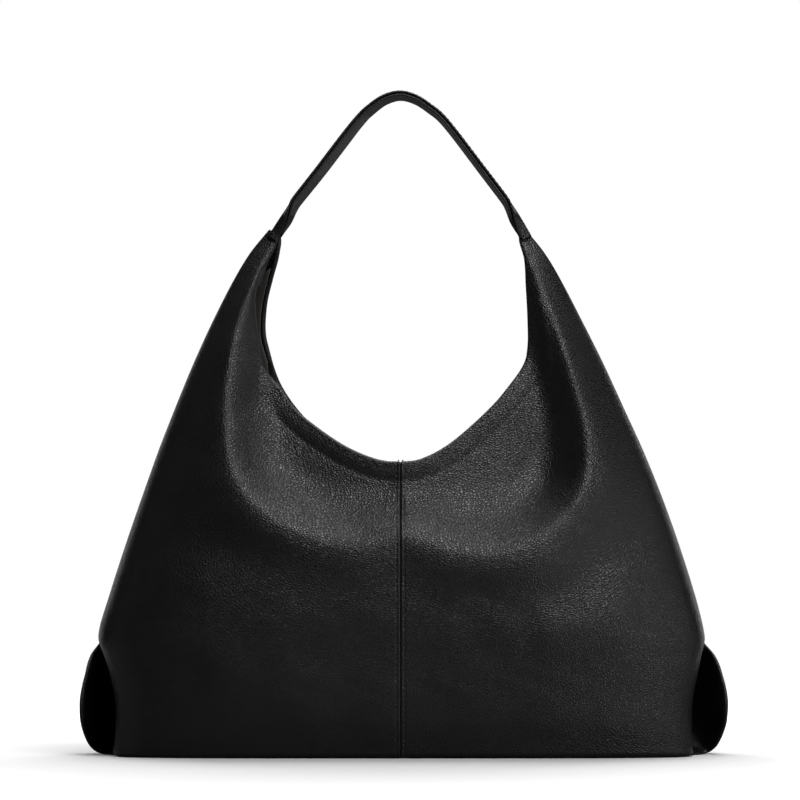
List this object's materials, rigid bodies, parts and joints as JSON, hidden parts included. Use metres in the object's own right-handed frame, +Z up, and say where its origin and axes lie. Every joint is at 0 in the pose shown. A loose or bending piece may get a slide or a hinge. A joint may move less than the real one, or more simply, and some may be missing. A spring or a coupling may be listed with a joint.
{
  "type": "hobo bag",
  "caption": "Slouchy black leather shoulder bag with a deep curved mouth, gathered horns, a single short strap, tucked bottom corners and a flat base.",
  "frame": {"origin": "middle of the base, on the ground the bag stands on", "axes": "+Z up through the strap, +X to the right of someone looking at the front, +Y from the front to the back"},
  "size_m": [0.499, 0.1518, 0.5159],
  "materials": {
    "shell_leather": "black pebbled full-grain leather, semi-gloss",
    "facing_leather": "black smooth-grained leather, satin",
    "lining_cloth": "taupe suede-like lining cloth, matt",
    "board": "bonded fibre board, matt",
    "reinforcement": "bonded leather, matt",
    "thread": "black waxed polyester thread",
    "metal": "pale gold plating, satin",
    "magnet": "dark plated magnet",
    "zip_tape": "woven zip tape, matt"
  },
  "bodies": {
    "bag": {"front_left_panel": "shell_leather", "front_right_panel": "shell_leather", "back_left_panel": "shell_leather", "back_right_panel": "shell_leather", "base_panel": "shell_leather", "base_board": "board", "base_lining": "lining_cloth", "front_lining": "lining_cloth", "back_lining": "lining_cloth", "front_facing": "facing_leather", "back_facing": "facing_leather", "left_horn_reinforcement": "reinforcement", "right_horn_reinforcement": "reinforcement", "front_seam_thread": "thread", "back_seam_thread": "thread", "mouth_thread": "thread", "snap_socket": "metal", "snap_magnet": "magnet", "snap_stud": "metal", "snap_socket_backing": "metal", "snap_stud_backing": "metal", "slip_pocket": "lining_cloth", "zip_pocket": "lining_cloth", "zip_welt": "facing_leather", "zip_upper_tape": "zip_tape", "zip_lower_tape": "zip_tape", "zip_upper_teeth": "metal", "zip_lower_teeth": "metal", "zip_stops": "metal"},
    "strap": {"strap_outer": "shell_leather", "strap_core": "reinforcement", "strap_lining": "facing_leather", "left_strap_wrap": "shell_leather", "right_strap_wrap": "shell_leather", "strap_thread": "thread", "left_wrap_thread": "thread", "right_wrap_thread": "thread"},
    "zip_slider": {"zip_slider": "metal"},
    "zip_pull": {"zip_pull": "metal"}
  },
  "joints": [
    {"name": "strap_swing", "type": "hinge", "parent": "bag", "child": "strap", "pos_m": [0, 0, 0.398], "axis": [1, 0, 0], "range_deg": [-110, 110]},
    {"name": "zip_slide", "type": "slide", "parent": "bag", "child": "zip_slider", "axis": [1, 0, 0], "range_m": [0, 0.138]},
    {"name": "zip_pull_swing", "type": "hinge", "parent": "zip_slider", "child": "zip_pull", "pos_m": [-0.069, 0.04393, 0.16933], "axis": [1, 0, 0], "range_deg": [-150, 15]}
  ]
}
